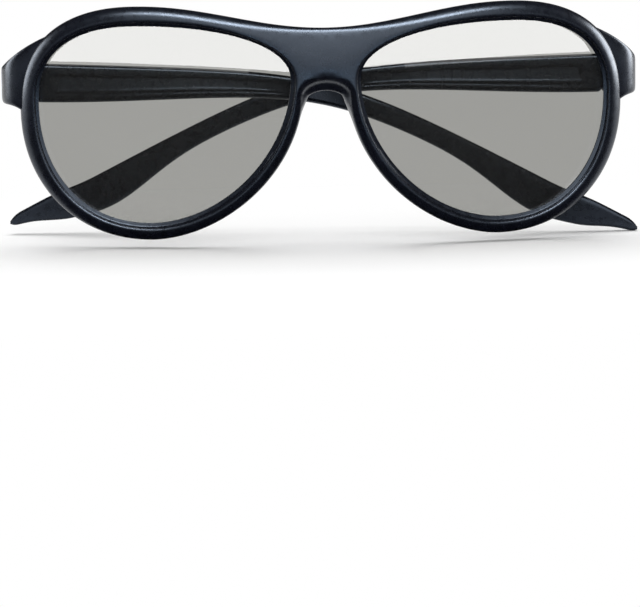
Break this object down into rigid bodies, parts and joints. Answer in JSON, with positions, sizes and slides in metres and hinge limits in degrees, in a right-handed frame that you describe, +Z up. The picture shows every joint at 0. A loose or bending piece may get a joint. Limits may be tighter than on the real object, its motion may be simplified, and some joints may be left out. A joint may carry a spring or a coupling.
{
  "type": "3d glasses",
  "caption": "Folding aviator-shaped 3D glasses: wrapped dark plastic front, grey circular-polarising lenses laminated from films, hinged temples that fold behind the lenses.",
  "frame": {"origin": "crown of the nose arch, in the middle plane, halfway through the front's thickness", "axes": "+X to the wearer's left, -Y the way the wearer looks, +Z up; the glasses stand upright on the rims and the folded temple tips"},
  "size_m": [0.1459, 0.0459, 0.0543],
  "materials": {
    "shell": "near-black navy ABS with a soft sheen",
    "lens_film": "neutral grey polarising laminate",
    "clear_sheet": "clear cellulose sheet",
    "pin_steel": "drawn steel pin"
  },
  "bodies": {
    "front": {"front_frame": "shell", "left_retarder_film": "lens_film", "left_cover_sheet": "clear_sheet", "left_polariser_film": "lens_film", "left_carrier_sheet": "clear_sheet", "right_retarder_film": "lens_film", "right_cover_sheet": "clear_sheet", "right_polariser_film": "lens_film", "right_carrier_sheet": "clear_sheet", "left_hinge_pin": "pin_steel", "right_hinge_pin": "pin_steel"},
    "left_arm": {"left_temple": "shell"},
    "right_arm": {"right_temple": "shell"}
  },
  "joints": [
    {"name": "left_temple_fold", "type": "hinge", "parent": "front", "child": "left_arm", "pos_m": [0.0668, 0.02, -0.0002], "axis": [-0.0078, 0.0314, -0.9995], "range_deg": [0, 84.5]},
    {"name": "right_temple_fold", "type": "hinge", "parent": "front", "child": "right_arm", "pos_m": [-0.0668, 0.02, -0.0002], "axis": [0.0078, 0.0314, 0.9995], "range_deg": [0, 89]}
  ],
  "couplings": [
    {"joint": "right_temple_fold", "follows": "left_temple_fold", "ratio": 1.0532}
  ]
}
